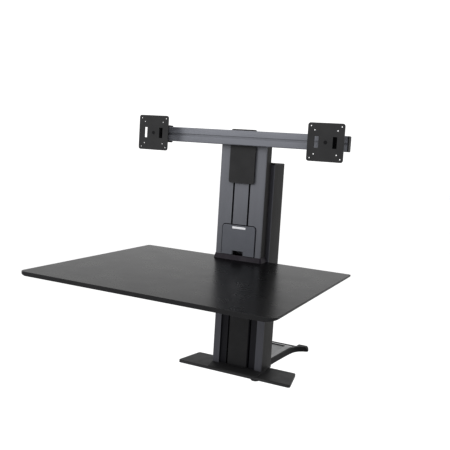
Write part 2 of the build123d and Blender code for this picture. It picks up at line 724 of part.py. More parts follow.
def support_rail():
    """Inverted channel under the board, on the +X side."""
    rail = block(
        SUPPORT_INNER, SUPPORT_OUTER, SUPPORT_FRONT_Y, SUPPORT_BACK_Y,
        BOARD_BOTTOM - SUPPORT_DEPTH, BOARD_BOTTOM,
    )
    nose = rail.edges().filter_by(Axis.X).group_by(Axis.Y)[0].group_by(Axis.Z)[0]
    rail = chamfer(nose, SUPPORT_DEPTH - SUPPORT_STEEL - 1)
    rail -= block(
        SUPPORT_INNER + SUPPORT_STEEL, SUPPORT_OUTER - SUPPORT_STEEL,
        SUPPORT_FRONT_Y - 1, SUPPORT_BACK_Y + 1,
        BOARD_BOTTOM - SUPPORT_DEPTH - 1, BOARD_BOTTOM - SUPPORT_STEEL,
    )
    for x, y in COLUMN_BOLTS:
        if x > 0:
            rail -= rod_z(x, y, BOARD_BOTTOM - SUPPORT_STEEL, BOARD_BOTTOM, COLUMN_BOLT_R)
    for x, y in BOARD_SCREWS:
        rail -= rod_z(x, y, BOARD_BOTTOM - SUPPORT_STEEL, BOARD_BOTTOM, BOARD_SCREW_R)
    return rail


def support_tie():
    """Flat plate that joins the two rails under the column."""
    return block(-SUPPORT_INNER, SUPPORT_INNER, -62, SUPPORT_BACK_Y, BOARD_BOTTOM - 5, BOARD_BOTTOM)


def column_bolts():
    seat = BOARD_BOTTOM - SUPPORT_STEEL
    return [
        rod_z(x, y, seat, COLUMN_BOLT_TOP, COLUMN_BOLT_R) + rod_z(x, y, seat - 4, seat, 5.5)
        for x, y in COLUMN_BOLTS
    ]


def worksurface_screws():
    seat = BOARD_BOTTOM - SUPPORT_STEEL
    screws = []
    for x, y in BOARD_SCREWS:
        shank = rod_z(x, y, seat, BOARD_BOTTOM + BOARD_SCREW_BITE, BOARD_SCREW_R)
        screws += both(shank + rod_z(x, y, seat - 2.5, seat, 4.5))
    return screws


# --- cable cover -------------------------------------------------------------
COVER_HALF = 63.0
COVER_BOTTOM = COLUMN_BOTTOM + 0.5
COVER_TOP = 543.0
COVER_THICK = 3.5
COVER_CORNER_R = 10.0
LABEL_HALF = 27.0
LABEL_LOW = 529.0
LABEL_HIGH = 539.0
LABEL_THICK = 1.0
LABEL_RECESS = 1.6
NOTCH_HALF = 21.0
NOTCH_HEIGHT = 15.0
COVER_LUGS = (462.0, 520.0)
LUG_INNER = COLUMN_SLOT_INNER + 1.6
LUG_OUTER = COLUMN_SLOT_OUTER - 1.6


def cable_cover():
    """Cover over the column's cable window, hung on lugs in the two slots."""
    back = COLUMN_FRONT - SLIDE_GAP
    front = back - COVER_THICK
    cover = extrude(Plane.XZ.offset(-back) * cover_outline(0), COVER_THICK)
    cover = chamfer(cover.edges().group_by(Axis.Y)[0], 0.8)
    notch_top = COVER_BOTTOM + NOTCH_HEIGHT
    cover -= block(-NOTCH_HALF, NOTCH_HALF, front - 1, back + 1, COVER_BOTTOM - 1, notch_top)
    cover -= block(-LABEL_HALF, LABEL_HALF, front - 1, front + LABEL_RECESS, LABEL_LOW, LABEL_HIGH)
    for z in COVER_LUGS:
        for lug in both(block(LUG_INNER, LUG_OUTER, back, COLUMN_FRONT + 8, z, z + 8)):
            cover += lug
    return cover


def label_plate():
    """Blank metal strip let into the top of the cover."""
    back = COLUMN_FRONT - SLIDE_GAP - COVER_THICK + LABEL_RECESS
    plate = block(-LABEL_HALF + 1, LABEL_HALF - 1, back - LABEL_THICK, back, LABEL_LOW + 1, LABEL_HIGH - 1)
    return fillet(plate.edges().filter_by(Axis.Y), 1.5)


# --- display riser and crossbar ----------------------------------------------
RISER_PLATE_HALF = 48.0
RISER_BOTTOM = COVER_TOP + RISER_DOWN + 87.0
RISER_TOP = BAR_HIGH + 5.0
RISER_PLATE = 5.0
NECK_INNER = 28.3
NECK_OUTER = 31.7
NECK_BACK_Y = -8.0
NECK_TOP = COLUMN_TOP - RISER_UP - 5.0
RISER_BOLTS = [(x, z) for x in (-16.0, 16.0) for z in (831.0, 859.0)]
RISER_BOLT_R = 3.0


def riser_plate():
    """Steel plate with two welded webs that reach through the column's slots."""
    back = BAR_BACK_Y + RISER_PLATE
    plate = block(-RISER_PLATE_HALF, RISER_PLATE_HALF, BAR_BACK_Y, back, RISER_BOTTOM, RISER_TOP)
    plate = fillet(plate.edges().filter_by(Axis.Y), 8.0)
    for x, z in RISER_BOLTS:
        plate -= rod_y(x, BAR_BACK_Y, back, z, RISER_BOLT_R)
    for neck in both(block(NECK_INNER, NECK_OUTER, back, NECK_BACK_Y, RISER_BOTTOM + 4, NECK_TOP)):
        plate += neck
    return plate


def riser_glides():
    """Plastic blocks on the webs that slide inside the column's chambers."""
    glides = []
    height = 34.0
    front = COLUMN_FRONT + COLUMN_WALL + SLIDE_GAP
    back = -COLUMN_WALL - SLIDE_GAP
    for z in (RISER_BOTTOM + 6, NECK_TOP - height - 2):
        glides += both(block(NECK_OUTER, NECK_OUTER + 16, front, back, z, z + height))
    return glides


def riser_bolts():
    back = BAR_BACK_Y + RISER_PLATE
    return [
        rod_y(x, BAR_BACK_Y - BAR_WALL, back, z, RISER_BOLT_R) + rod_y(x, back, back + 2.5, z, 5.0)
        for x, z in RISER_BOLTS
    ]


def crossbar():
    """Hollow bar with a groove along its front face."""
    half = BAR_LENGTH / 2
    bar = block(-half, half, BAR_FRONT_Y, BAR_BACK_Y, BAR_LOW, BAR_HIGH)
    bar = fillet(bar.edges().filter_by(Axis.X), 3.0)
    groove_wall = BAR_GROOVE_HALF + BAR_WALL
    groove_back = BAR_FRONT_Y + BAR_GROOVE_DEPTH
    groove_low = BAR_CENTER_Z - BAR_GROOVE_HALF
    bar -= block(-half, half, BAR_FRONT_Y - 1, groove_back, groove_low, groove_low + 2 * BAR_GROOVE_HALF)
    for sign in (-1, 1):
        near = BAR_CENTER_Z + sign * groove_wall
        far = BAR_CENTER_Z + sign * (BAR_HEIGHT / 2 - BAR_WALL)
        bar -= block(-half, half, BAR_FRONT_Y + BAR_WALL, BAR_BACK_Y - BAR_WALL, near, far)
    for x, z in RISER_BOLTS:
        bar -= rod_y(x, BAR_BACK_Y - BAR_WALL, BAR_BACK_Y, z, RISER_BOLT_R)
    return bar


def crossbar_end_caps():
    half = BAR_LENGTH / 2
    cap = block(half, half + 4, BAR_FRONT_Y, BAR_BACK_Y, BAR_LOW, BAR_HIGH)
    cap = fillet(cap.edges().filter_by(Axis.X), 3.0)
    cap = chamfer(cap.edges().group_by(Axis.X)[-1], 1.2)
    return both(cap)


# --- display carrier, pan, tilt and plate ------------------------------------
CARRIER_HALF = 30.0
CARRIER_WALL = 5.0
CARRIER_LIP = 8.0
EAR_R = 10.0
EAR_THICK = 7.0
EAR_GAP = 12.0
PAN_PIN_R = 4.0
TILT_PIN_R = 3.5
TONGUE_HALF = 8.0
TONGUE_R = 7.0
CHEEK_INNER = TONGUE_HALF + SLIDE_GAP
CHEEK_OUTER = 13.0
CHEEK_R = 8.4
KNUCKLE_DISC_R = 15.0
KNUCKLE_DISC = 1.4
HUB_R = 20.0
SPINDLE_R = 6.0
SCREW_HOLE_R = 2.25
PLATE_SLOT_X = 30.0
PLATE_SLOT_HALF = 18.0
HUB_BACK_Y = -119.6
KNUCKLE_FRONT_Y = -119.0


def carrier(x):
    """Saddle that slides along the crossbar, with two ears for the pan pin."""
    x0 = x - CARRIER_HALF
    x1 = x + CARRIER_HALF
    wall = CARRIER_WALL
    gap = SLIDE_GAP
    shell = block(x0, x1, BAR_FRONT_Y - wall, BAR_BACK_Y + wall, BAR_LOW - wall, BAR_HIGH + wall)
    shell = fillet(shell.edges().filter_by(Axis.X), 4.0)
    shell -= block(x0, x1, BAR_FRONT_Y - gap, BAR_BACK_Y + gap, BAR_LOW - gap, BAR_HIGH + gap)
    shell -= block(x0, x1, BAR_BACK_Y, BAR_BACK_Y + 2 * wall, BAR_LOW + CARRIER_LIP, BAR_HIGH - CARRIER_LIP)
    for sign in (-1, 1):
        near = BAR_CENTER_Z + sign * EAR_GAP
        far = near + sign * EAR_THICK
        ear = block(x - EAR_R, x + EAR_R, PAN_Y, BAR_FRONT_Y - CARRIER_WALL, near, far)
        shell += ear + rod_z(x, PAN_Y, min(near, far), max(near, far), EAR_R)
        shell -= rod_z(x, PAN_Y, min(near, far), max(near, far), PAN_PIN_R)
    return shell


def pan_pin(x):
    low = BAR_CENTER_Z - EAR_GAP - EAR_THICK
    high = BAR_CENTER_Z + EAR_GAP + EAR_THICK
    pin = rod_z(x, PAN_Y, low, high, PAN_PIN_R)
    return pin + rod_z(x, PAN_Y, high, high + 2, PAN_PIN_R + 2)


def pan_yoke(x):
    """Barrel on the pan pin with a tongue that carries the tilt pin."""
    low = BAR_CENTER_Z - EAR_GAP + SLIDE_GAP
    high = BAR_CENTER_Z + EAR_GAP - SLIDE_GAP
    x0 = x - TONGUE_HALF
    x1 = x + TONGUE_HALF
    yoke = rod_z(x, PAN_Y, low, high, EAR_R - 1)
    yoke += block(x0, x1, TILT_Y, PAN_Y, BAR_CENTER_Z - TONGUE_R, BAR_CENTER_Z + TONGUE_R)
    yoke += rod_x(x0, x1, TILT_Y, BAR_CENTER_Z, TONGUE_R)
    yoke -= rod_z(x, PAN_Y, low, high, PAN_PIN_R + RUN_GAP)
    return yoke - rod_x(x0, x1, TILT_Y, BAR_CENTER_Z, TILT_PIN_R)


def tilt_pin(x):
    return rod_x(x - CHEEK_OUTER - 1, x + CHEEK_OUTER + 1, TILT_Y, BAR_CENTER_Z, TILT_PIN_R)


def tilt_knuckle(x):
    """Two cheeks on the tilt pin, a front disc and the plate's spindle."""
    disc_back = KNUCKLE_FRONT_Y + KNUCKLE_DISC
    knuckle = rod_y(x, KNUCKLE_FRONT_Y, disc_back, BAR_CENTER_Z, KNUCKLE_DISC_R)
    for sign in (-1, 1):
        inner = x + sign * CHEEK_INNER
        outer = x + sign * CHEEK_OUTER
        low = BAR_CENTER_Z - CHEEK_R
        cheek = rod_x(inner, outer, TILT_Y, BAR_CENTER_Z, CHEEK_R)
        cheek += block(inner, outer, KNUCKLE_FRONT_Y, TILT_Y, low, low + 2 * CHEEK_R)
        knuckle += cheek
        knuckle -= rod_x(inner, outer, TILT_Y, BAR_CENTER_Z, TILT_PIN_R + RUN_GAP)
    return knuckle + rod_y(x, PLATE_FRONT_Y, KNUCKLE_FRONT_Y, BAR_CENTER_Z, SPINDLE_R)


def display_plate(x):
    """Square plate with two four-hole patterns, turning on the spindle."""
    half = PLATE_SIDE / 2
    plate = block(
        x - half, x + half, PLATE_FRONT_Y, PLATE_FRONT_Y + PLATE_THICK,
        BAR_CENTER_Z - half, BAR_CENTER_Z + half,
    )
    plate = fillet(plate.edges().filter_by(Axis.Y), 8.0)
    plate += rod_y(x, PLATE_FRONT_Y + PLATE_THICK, HUB_BACK_Y, BAR_CENTER_Z, HUB_R)
    for pitch in (75.0, 100.0):
        for sx in (-1, 1):
            for sz in (-1, 1):
                plate -= rod_y(
                    x + sx * pitch / 2, PLATE_FRONT_Y, HUB_BACK_Y,
                    BAR_CENTER_Z + sz * pitch / 2, SCREW_HOLE_R,
                )
    for sign in (-1, 1):
        slot_x = x + sign * PLATE_SLOT_X
        low = BAR_CENTER_Z - PLATE_SLOT_HALF
        high = BAR_CENTER_Z + PLATE_SLOT_HALF
        plate -= block(slot_x - 7, slot_x + 7, PLATE_FRONT_Y, HUB_BACK_Y, low, high)
    return plate - rod_y(x, PLATE_FRONT_Y, HUB_BACK_Y, BAR_CENTER_Z, SPINDLE_R + RUN_GAP)


# --- nodes -------------------------------------------------------------------
def nodes():
    """Every node's name with its solid or solids."""
    made = {
        "foot_bar": foot_bar(),
        "foot_pad": foot_pad(),
        "base_casting": base_casting(),
        "base_bolts": base_bolts() + arm_bolts(),
        "rear_arm": rear_arm(),
        "arm_inlay": arm_inlay(),
        "clamp_bracket": clamp_bracket(),
        "clamp_bolts": clamp_bolts(),
        "clamp_top_pad": clamp_top_pad(),
        "clamp_jaw": clamp_jaw(),
        "clamp_jaw_pad": clamp_jaw_pad(),
        "clamp_screw": clamp_screw(),
        "clamp_knob": clamp_knob(),
        "mast": mast(),
        "mast_center_panel": mast_center_panel(),
        "mast_cap": mast_cap(),
        "spring_barrel": spring_barrel(),
        "mainspring": mainspring(),
        "tension_rod": tension_rod(),
        "shaft_bushes": shaft_bushes(),
        "lower_shaft": lower_shaft(),
        "lower_pulleys": both(pulley(PULLEY_LOWER_Z, SHAFT_R)),
        "pulley_stubs": both(pulley_stub()),
        "drive_belts": both(belt()),
        "wheel_axles": wheel_axles(),
        "belt_clamps": both(belt_clamp()),
        "lift_column": lift_column(),
        "column_cap": column_cap(),
        "column_foot": column_foot(),
        "column_bolts": column_bolts() + truck_bolts(),
        "worksurface": worksurface(),
        "worksurface_edge_band": worksurface_edge_band(),
        "support_tie": support_tie(),
        "worksurface_screws": worksurface_screws(),
        "cable_cover": cable_cover(),
        "label_plate": label_plate(),
        "riser_plate": riser_plate(),
        "riser_glides": riser_glides(),
        "riser_bolts": riser_bolts(),
        "crossbar": crossbar(),
        "crossbar_end_caps": crossbar_end_caps(),
    }
    upper_pulley = pulley(PULLEY_UPPER_Z, SHAFT_R + RUN_GAP)
    for side, place in (("left", mirrored), ("right", lambda piece: piece)):
        made[f"truck_{side}"] = place(truck())
        made[f"support_rail_{side}"] = place(support_rail())
        made[f"upper_pulley_{side}"] = place(upper_pulley)
        made[f"upper_wheel_{side}"] = place(guide_wheel(WHEEL_FRONT_Y, WHEEL_UPPER_Z))
        made[f"lower_wheel_{side}"] = place(guide_wheel(WHEEL_BACK_Y, WHEEL_LOWER_Z))
        x = DISPLAY_X if side == "right" else -DISPLAY_X
        made[f"carrier_{side}"] = carrier(x) + pan_pin(x)
        made[f"pan_yoke_{side}"] = pan_yoke(x) + tilt_pin(x)
        made[f"tilt_knuckle_{side}"] = tilt_knuckle(x)
        made[f"display_plate_{side}"] = display_plate(x)
    return made


def main():
    os.makedirs("parts", exist_ok=True)
    for name, pieces in nodes().items():
        save(name, pieces)


main()
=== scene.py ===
"""Standing desk converter: finishes, rounded and detailed pieces, studio and camera.

Metres, in the CAD frame: +Z up, -Y towards the user, +X to the user's right, with the
origin on the desk top under the worksurface's back edge.
"""
import json
import math

import bmesh
import bpy
from mathutils import Matrix, Vector


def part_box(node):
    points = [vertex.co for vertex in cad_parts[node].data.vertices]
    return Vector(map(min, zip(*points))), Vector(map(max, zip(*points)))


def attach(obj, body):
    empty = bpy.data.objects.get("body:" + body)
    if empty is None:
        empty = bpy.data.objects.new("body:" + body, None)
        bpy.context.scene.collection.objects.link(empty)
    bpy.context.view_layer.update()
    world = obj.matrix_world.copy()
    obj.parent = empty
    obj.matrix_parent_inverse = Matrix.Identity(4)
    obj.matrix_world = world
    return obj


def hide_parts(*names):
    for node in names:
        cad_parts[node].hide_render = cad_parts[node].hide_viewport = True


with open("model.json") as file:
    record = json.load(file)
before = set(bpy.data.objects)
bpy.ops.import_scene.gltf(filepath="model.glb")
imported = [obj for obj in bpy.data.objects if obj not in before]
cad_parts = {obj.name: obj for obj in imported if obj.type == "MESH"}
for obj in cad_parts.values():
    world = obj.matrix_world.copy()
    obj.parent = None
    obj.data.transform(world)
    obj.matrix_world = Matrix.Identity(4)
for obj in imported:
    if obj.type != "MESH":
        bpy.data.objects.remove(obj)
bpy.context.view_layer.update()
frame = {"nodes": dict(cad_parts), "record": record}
NODES = frame["nodes"]
RECORD = frame["record"]
BODY_OF = {n: body for body, nodes in RECORD["behaviour"]["bodies"].items() for n in nodes}
SLOT_OF = {s["node"]: s["material_slot"] for s in RECORD["subparts"]}

MM = 0.001
WELD = 0.002 * MM
FLAT_ANGLE = math.radians(1.0)
SHARP_ANGLE = math.radians(28.0)
AXES = (Vector((1, 0, 0)), Vector((0, 1, 0)), Vector((0, 0, 1)))
RUB_WIDTH = 0.9 * MM            # how far wear reaches in from an edge
RUB_PATCH = 12 * MM             # size of the patches that break up the wear
EDGE_COSINES = (0.80, 0.995)    # bevel normal against face normal: full wear, no wear


# --- materials ---------------------------------------------------------------
def add(tree, kind, inputs=None, **settings):
    """A shader node with its settings and unlinked inputs filled in."""
    node = tree.nodes.new("ShaderNode" + kind)
    for key, value in settings.items():
        setattr(node, key, value)
    for key, value in (inputs or {}).items():
        node.inputs[key].default_value = value
    return node


def noise(tree, coords, size, stretch=(1, 1, 1), detail=3.0):
    """Noise whose features are about `size` metres, stretched along the axes."""
    scale = Vector([1 / (size * s) for s in stretch])
    mapping = add(tree, "Mapping", {"Scale": scale})
    tree.links.new(coords, mapping.inputs["Vector"])
    texture = add(tree, "TexNoise", {"Scale": 1.0, "Detail": detail, "Roughness": 0.55})
    tree.links.new(mapping.outputs["Vector"], texture.inputs["Vector"])
    return texture.outputs["Fac"]


def spread(tree, value, low, high, start=0.3, end=0.7):
    """Maps a noise value to the range from low to high."""
    node = add(tree, "MapRange", {"From Min": start, "From Max": end, "To Min": low, "To Max": high})
    tree.links.new(value, node.inputs["Value"])
    return node.outputs["Result"]


def blend_colour(tree, factor, first, second):
    """Mixes two colours; each is a colour or another node's output."""
    node = add(tree, "Mix", data_type="RGBA")
    tree.links.new(factor, node.inputs["Factor"])
    for socket, colour in ((node.inputs[6], first), (node.inputs[7], second)):
        if isinstance(colour, tuple):
            socket.default_value = (*colour, 1.0)
        else:
            tree.links.new(colour, socket)
    return node.outputs[2]


def edge_mask(tree, gain):
    """Up to `gain` on rounded edges and zero on flats, from the bevel normal."""
    bevel = add(tree, "Bevel", {"Radius": RUB_WIDTH}, samples=4)
    geometry = add(tree, "NewGeometry")
    dot = add(tree, "VectorMath", operation="DOT_PRODUCT")
    tree.links.new(bevel.outputs["Normal"], dot.inputs[0])
    tree.links.new(geometry.outputs["True Normal"], dot.inputs[1])
    return spread(tree, dot.outputs["Value"], gain, 0.0, *EDGE_COSINES)


def finish(
    name, dark, light, rough, grain, relief,
    cloud=0.09, stretch=(1, 1, 1), metal=0.0, rough_swing=0.06, wear=None, wear_amount=0.5,
    specular=0.5, grain_stretch=None,
):
    """A surface with cloudy colour, uneven gloss, a fine grain and rubbed edges."""
    material = bpy.data.materials.new(name)
    material.use_nodes = True
    tree = material.node_tree
    shader = tree.nodes["Principled BSDF"]
    coords = add(tree, "TexCoord").outputs["Object"]
    clouds = spread(tree, noise(tree, coords, cloud, stretch), 0.0, 1.0)
    colour = blend_colour(tree, clouds, dark, light)
    if wear:
        rub = add(tree, "Math", operation="MULTIPLY")
        tree.links.new(edge_mask(tree, wear_amount), rub.inputs[0])
        tree.links.new(spread(tree, noise(tree, coords, RUB_PATCH), 0.2, 1.0), rub.inputs[1])
        colour = blend_colour(tree, rub.outputs["Value"], colour, wear)
    tree.links.new(colour, shader.inputs["Base Color"])
    gloss = noise(tree, coords, cloud * 0.45, stretch)
    gloss = spread(tree, gloss, rough - rough_swing, rough + rough_swing)
    tree.links.new(gloss, shader.inputs["Roughness"])
    bump = add(tree, "Bump", {"Strength": 1.0, "Distance": relief})
    tree.links.new(noise(tree, coords, grain, grain_stretch or stretch, 2.0), bump.inputs["Height"])
    tree.links.new(bump.outputs["Normal"], shader.inputs["Normal"])
    shader.inputs["Metallic"].default_value = metal
    shader.inputs["Specular IOR Level"].default_value = specular
    return material


# How far noise is stretched along an axis: streaks for grain, drawn for colour and gloss.
STREAK_X = (40, 1, 1)
STREAK_Z = (1, 1, 40)
DRAWN_X = (8, 1, 1)
DRAWN_Z = (1, 1, 8)

# What every drawn, anodised section shares.
ANODISED = {
    "grain": 0.35 * MM, "relief": 0.006 * MM, "cloud": 0.02, "rough_swing": 0.03,
    "stretch": DRAWN_Z, "grain_stretch": STREAK_Z,
}
BLACK_RUBBER = {"grain": 0.6 * MM, "relief": 0.05 * MM}

SURFACES = {
    "powder_coat_dark": dict(
        dark=(0.027, 0.027, 0.028), light=(0.037, 0.037, 0.038), rough=0.46, grain=0.5 * MM,
        relief=0.03 * MM, wear=(0.08, 0.08, 0.085), wear_amount=0.30, specular=0.15,
    ),
    "arm_casting_dark": dict(
        dark=(0.007, 0.007, 0.008), light=(0.011, 0.011, 0.012), rough=0.46, grain=0.8 * MM,
        relief=0.03 * MM, wear=(0.05, 0.05, 0.055), wear_amount=0.25, specular=0.10,
    ),
    "anodised_graphite": dict(
        ANODISED, dark=(0.132, 0.136, 0.151), light=(0.143, 0.147, 0.163), rough=0.44,
        metal=0.15, wear=(0.20, 0.20, 0.22), wear_amount=0.25, specular=0.3,
    ),
    "cover_graphite": dict(
        dark=(0.114, 0.119, 0.135), light=(0.125, 0.130, 0.147), rough=0.46, grain=0.4 * MM,
        relief=0.012 * MM, cloud=0.05, metal=0.1, rough_swing=0.03, wear=(0.15, 0.15, 0.17),
        wear_amount=0.35, specular=0.3,
    ),
    "plinth_dark": dict(
        dark=(0.014, 0.011, 0.016), light=(0.021, 0.017, 0.024), rough=0.42, grain=0.6 * MM,
        relief=0.02 * MM, wear=(0.08, 0.075, 0.08), wear_amount=0.4, specular=0.12,
    ),
    "label_metal": dict(
        dark=(0.60, 0.60, 0.62), light=(0.74, 0.74, 0.76), rough=0.34, grain=0.12 * MM,
        relief=0.004 * MM, cloud=0.001, stretch=STREAK_X, metal=0.7, rough_swing=0.08,
    ),
    "zinc_steel": dict(
        dark=(0.42, 0.42, 0.43), light=(0.56, 0.56, 0.55), rough=0.32, grain=0.25 * MM,
        relief=0.006 * MM, cloud=0.004, metal=1.0, rough_swing=0.08, wear=(0.75, 0.75, 0.74),
        wear_amount=0.3,
    ),
    "spring_steel": dict(
        dark=(0.16, 0.15, 0.14), light=(0.26, 0.25, 0.24), rough=0.35, grain=0.3 * MM,
        relief=0.01 * MM, cloud=0.002, metal=1.0,
    ),
    "laminate_black": dict(
        dark=(0.0030, 0.0030, 0.0033), light=(0.0042, 0.0042, 0.0046), rough=0.28,
        grain=0.35 * MM, relief=0.004 * MM, cloud=0.16, rough_swing=0.012, specular=0.125,
    ),
    "edge_black": dict(
        dark=(0.006, 0.006, 0.007), light=(0.009, 0.009, 0.010), rough=0.40, grain=0.5 * MM,
        relief=0.015 * MM, cloud=0.03, wear=(0.04, 0.04, 0.045), wear_amount=0.35,
        specular=0.25,
    ),
    "plastic_black": dict(
        dark=(0.006, 0.006, 0.007), light=(0.010, 0.010, 0.011), rough=0.48, grain=0.45 * MM,
        relief=0.03 * MM, cloud=0.04, wear=(0.05, 0.05, 0.05), wear_amount=0.3, specular=0.25,
    ),
    "inlay_grey": dict(
        dark=(0.175, 0.177, 0.180), light=(0.205, 0.207, 0.210), rough=0.46, grain=0.5 * MM,
        relief=0.03 * MM, cloud=0.05, wear=(0.34, 0.34, 0.35), wear_amount=0.3,
    ),
    "acetal_white": dict(
        dark=(0.62, 0.61, 0.57), light=(0.70, 0.69, 0.66), rough=0.38, grain=0.4 * MM,
        relief=0.01 * MM, cloud=0.01,
    ),
    "rubber_black": dict(
        BLACK_RUBBER, dark=(0.012, 0.012, 0.012), light=(0.020, 0.020, 0.020), rough=0.78,
        cloud=0.02,
    ),
    "belt_rubber": dict(
        BLACK_RUBBER, dark=(0.014, 0.014, 0.014), light=(0.022, 0.022, 0.022), rough=0.68,
        cloud=0.01,
    ),
    # Painted shade: a near-black that stands for the shade in channels, the groove, slots and recess
    # walls.
    "recess_painted_shade": dict(
        ANODISED, dark=(0.009, 0.009, 0.012), light=(0.013, 0.013, 0.016), rough=0.46,
        specular=0.12,
    ),
    # Painted shade: a darker copy of the anodising that stands for the shade on side and back faces.
    "side_painted_shade": dict(
        ANODISED, dark=(0.0195, 0.0190, 0.0190), light=(0.0225, 0.0220, 0.0220), rough=0.46,
        wear=(0.08, 0.08, 0.085), wear_amount=0.20, specular=0.10,
    ),
    "anodised_bar": dict(
        ANODISED, dark=(0.150, 0.155, 0.173), light=(0.164, 0.169, 0.189), rough=0.44,
        stretch=DRAWN_X, grain_stretch=STREAK_X, metal=0.15, wear=(0.26, 0.26, 0.28),
        wear_amount=0.25, specular=0.3,
    ),
    # Painted shade: a darker copy of the graphite anodising that stands for the board's shade on the
    # mast's front.
    "mast_front_painted_shade": dict(
        ANODISED, dark=(0.056, 0.057, 0.067), light=(0.066, 0.067, 0.078), rough=0.44,
        wear=(0.14, 0.14, 0.155), wear_amount=0.20, specular=0.25,
    ),
}
FINISH = {name: finish(name, **values) for name, values in SURFACES.items()}


# --- mesh helpers ------------------------------------------------------------
def show(name, mesh, node):
    """Links a finished mesh as a piece that stands for a CAD node."""
    piece = bpy.data.objects.new(name, mesh)
    bpy.context.scene.collection.objects.link(piece)
    mesh.materials.clear()
    mesh.materials.append(FINISH[SLOT_OF[node]])
    mesh.shade_smooth()
    mesh.set_sharp_from_angle(angle=SHARP_ANGLE)
    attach(piece, BODY_OF[node])
    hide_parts(node)
    return piece


def plain_mesh(node):
    """A copy of a CAD node's mesh with its flat faces joined."""
    mesh = NODES[node].data.copy()
    bm = bmesh.new()
    bm.from_mesh(mesh)
    bmesh.ops.remove_doubles(bm, verts=bm.verts, dist=WELD)
    bmesh.ops.dissolve_limit(bm, angle_limit=FLAT_ANGLE, verts=bm.verts, edges=bm.edges)
    bm.to_mesh(mesh)
    bm.free()
    if "custom_normal" in mesh.attributes:
        mesh.attributes.remove(mesh.attributes["custom_normal"])
    return mesh


def softened(node, width):
    """The node with its sharp edges rounded to `width` millimetres."""
    piece = show(f"{node}_rounded", plain_mesh(node), node)
    edges = piece.modifiers.new("rounded_edges", "BEVEL")
    edges.width = width * MM
    edges.segments = 2
    edges.limit_method = "ANGLE"
    edges.angle_limit = SHARP_ANGLE
    edges.harden_normals = True
    return piece


def paint(piece, surface, chosen):
    """Gives the faces that `chosen` picks another finish."""
    piece.data.materials.append(FINISH[surface])
    index = len(piece.data.materials) - 1
    for face in piece.data.polygons:
        if chosen(face):
            face.material_index = index


def islands(node):
    """The vertices of each separate solid of a CAD node."""
    bm = bmesh.new()
    bm.from_mesh(NODES[node].data)
    bmesh.ops.remove_doubles(bm, verts=bm.verts, dist=WELD)
    left = set(bm.verts)
    found = []
    while left:
        stack = [left.pop()]
        group = []
        while stack:
            vertex = stack.pop()
            group.append(vertex.co.copy())
            for edge in vertex.link_edges:
                other = edge.other_vert(vertex)
                if other in left:
                    left.remove(other)
                    stack.append(other)
        found.append(group)
    bm.free()
    return found


def add_rings(bm, rings, sides, place):
    """A closed solid from rings of (height, radius).

    A radius is a number, or a function of the angle round the axis.
    """
    loops = []
    for height, radius in rings:
        loop = []
        for i in range(sides):
            angle = 2 * math.pi * i / sides
            r = radius(angle) if callable(radius) else radius
            point = Vector((r * math.cos(angle), r * math.sin(angle), height))
            loop.append(bm.verts.new(place @ point))
        loops.append(loop)
    for low, high in zip(loops, loops[1:]):
        for i in range(sides):
            j = (i + 1) % sides
            bm.faces.new((low[i], low[j], high[j], high[i]))
    bm.faces.new(list(reversed(loops[0])))
    bm.faces.new(loops[-1])


def bm_mesh(name, bm):
    """A mesh from a bmesh, with its faces turned outwards."""
    bmesh.ops.recalc_face_normals(bm, faces=bm.faces)
    mesh = bpy.data.meshes.new(name)
    bm.to_mesh(mesh)
    bm.free()
    return mesh


def hexagon(across):
    """Radius of a hexagon at an angle, from its width across flats."""
    sector = math.pi / 3
    return lambda angle: across / 2 / math.cos((angle % sector) - sector / 2)


# --- bolts -------------------------------------------------------------------
SAME_RADIUS = 0.05 * MM     # radii closer than this are alike
AXIS_RADIUS = 0.5 * MM      # points nearer the axis than this are no shank
SOCKET_ACROSS = 0.95        # socket across its flats, by the head's radius
SOCKET_DEPTH = 0.6          # by the head's height
LIP = 0.12                  # rounded rim, by the head's radius
LIP_MOST = 0.7 * MM


def bolt_axis(points):
    """Index of the long axis of a turned solid: the other two extents are equal."""
    spans = [max(p[i] for p in points) - min(p[i] for p in points) for i in range(3)]
    return min(range(3), key=lambda i: abs(spans[(i + 1) % 3] - spans[(i + 2) % 3]))


def bolt_profile(points):
    """Axis, centre, and the radii found at each height of a turned solid."""
    axis = bolt_axis(points)
    low = Vector([min(p[i] for p in points) for i in range(3)])
    high = Vector([max(p[i] for p in points) for i in range(3)])
    centre = (low + high) / 2
    centre[axis] = 0.0
    radii = {}
    for p in points:
        across = p - centre
        height = across[axis]
        across[axis] = 0.0
        radii.setdefault(round(height, 5), []).append(across.length)
    return axis, centre, radii


def add_bolt(bm, points, sides=30):
    """A socket-head bolt with the CAD bolt's own lengths and radii."""
    axis, centre, radii = bolt_profile(points)
    heights = sorted(radii)
    ends = (max(radii[heights[0]]), max(radii[heights[-1]]))
    sign = 1 if ends[1] >= ends[0] - SAME_RADIUS else -1
    top = heights[-1] if sign > 0 else heights[0]
    tip = heights[0] if sign > 0 else heights[-1]
    head = max(ends)
    shank = min(r for r in (ends[0], ends[1], *radii[heights[1]]) if r > AXIS_RADIUS)
    steps = sorted((h for h in heights if h not in (top, tip)), key=lambda h: abs(h - top))
    seat = steps[0] if steps else tip
    socket = hexagon(head * SOCKET_ACROSS)
    lip = min(LIP * head, LIP_MOST)
    depth = SOCKET_DEPTH * abs(top - seat)
    rings = [
        (tip + sign * lip, shank - lip * 0.6),
        (tip + sign * 2 * lip, shank),
        (seat, shank),
        (seat, head),
        (top - sign * lip, head),
        (top, head - lip),
        (top, lambda angle: socket(angle) + 0.1 * MM),
        (top - sign * 0.15 * MM, socket),
        (top - sign * depth, socket),
    ]
    turn = AXES[2].rotation_difference(AXES[axis]).to_matrix().to_4x4()
    add_rings(bm, rings, sides, Matrix.Translation(centre) @ turn)


def bolts(node):
    """All the bolts of a CAD node as one piece."""
    bm = bmesh.new()
    for points in islands(node):
        add_bolt(bm, points)
    return show(f"{node}_sockets", bm_mesh(f"{node}_sockets", bm), node)


